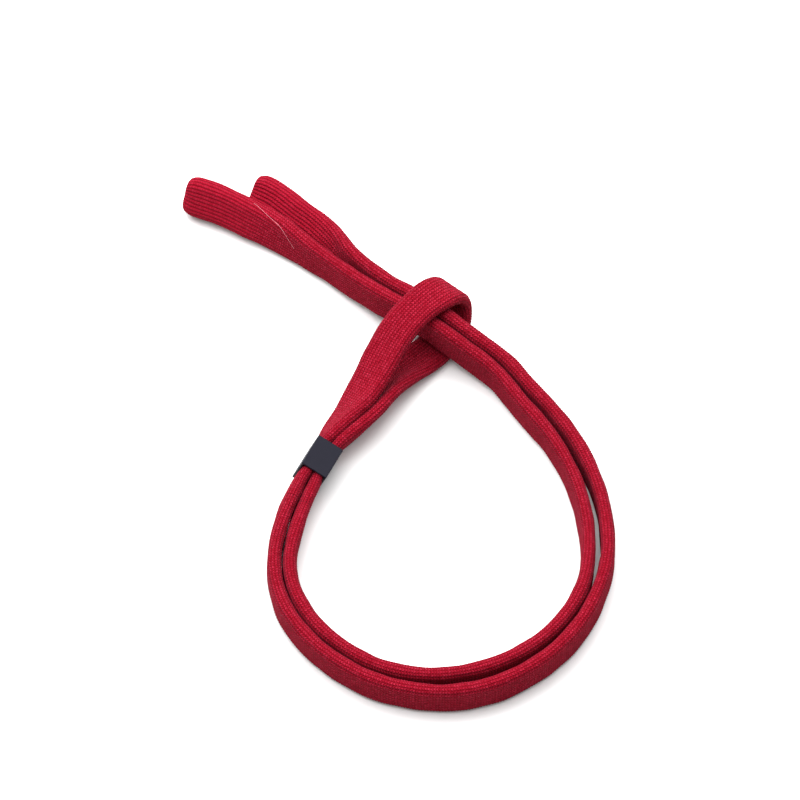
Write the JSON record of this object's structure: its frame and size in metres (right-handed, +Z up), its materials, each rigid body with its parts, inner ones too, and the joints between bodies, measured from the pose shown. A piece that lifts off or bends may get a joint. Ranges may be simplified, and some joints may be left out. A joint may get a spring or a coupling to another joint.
{
  "type": "eyeglass retainer strap",
  "caption": "Flat knitted eyeglass retainer strap with a grip pocket at each end, doubled through a small rectangular sliding sleeve and laid as a running noose.",
  "frame": {"origin": "centre of the footprint, on the table the strap lies on", "axes": "+Z up, +Y from the round loop towards the two pockets, +X to the loop's right"},
  "size_m": [0.1056, 0.1464, 0.0171],
  "materials": {
    "crimson_knit": "rib-knitted yarn, matt, slightly fuzzy",
    "slate_plastic": "satin moulded"
  },
  "bodies": {
    "loop": {"outer_strand_in_slider": "crimson_knit", "inner_strand_in_slider": "crimson_knit", "outer_strand_left": "crimson_knit", "inner_strand_left": "crimson_knit", "outer_strand_bottom": "crimson_knit", "inner_strand_bottom": "crimson_knit", "outer_strand_right": "crimson_knit", "inner_strand_right": "crimson_knit", "outer_strand_upper_right": "crimson_knit", "inner_strand_upper_right": "crimson_knit", "outer_strand_under_noose": "crimson_knit", "inner_strand_under_noose": "crimson_knit", "noose_over_strand": "crimson_knit", "noose_bend": "crimson_knit", "noose_under_strand": "crimson_knit"},
    "slider": {"slider": "slate_plastic"},
    "rear_end": {"rear_end_strap": "crimson_knit", "rear_pocket": "crimson_knit"},
    "front_end": {"front_end_strap": "crimson_knit", "front_pocket": "crimson_knit"}
  },
  "joints": [
    {"name": "slider_travel", "type": "hinge", "parent": "loop", "child": "slider", "pos_m": [0.06964, -0.055, 0], "axis": [0, 0, 1], "range_deg": [0, 4.5]},
    {"name": "front_end_swing", "type": "hinge", "parent": "loop", "child": "front_end", "pos_m": [-0.00934, 0.04139, 0], "axis": [0, 0, 1], "range_deg": [0, 28]},
    {"name": "rear_end_swing", "type": "hinge", "parent": "loop", "child": "rear_end", "pos_m": [-0.00714, 0.04509, 0], "axis": [0, 0, 1], "range_deg": [-28, 0]}
  ]
}
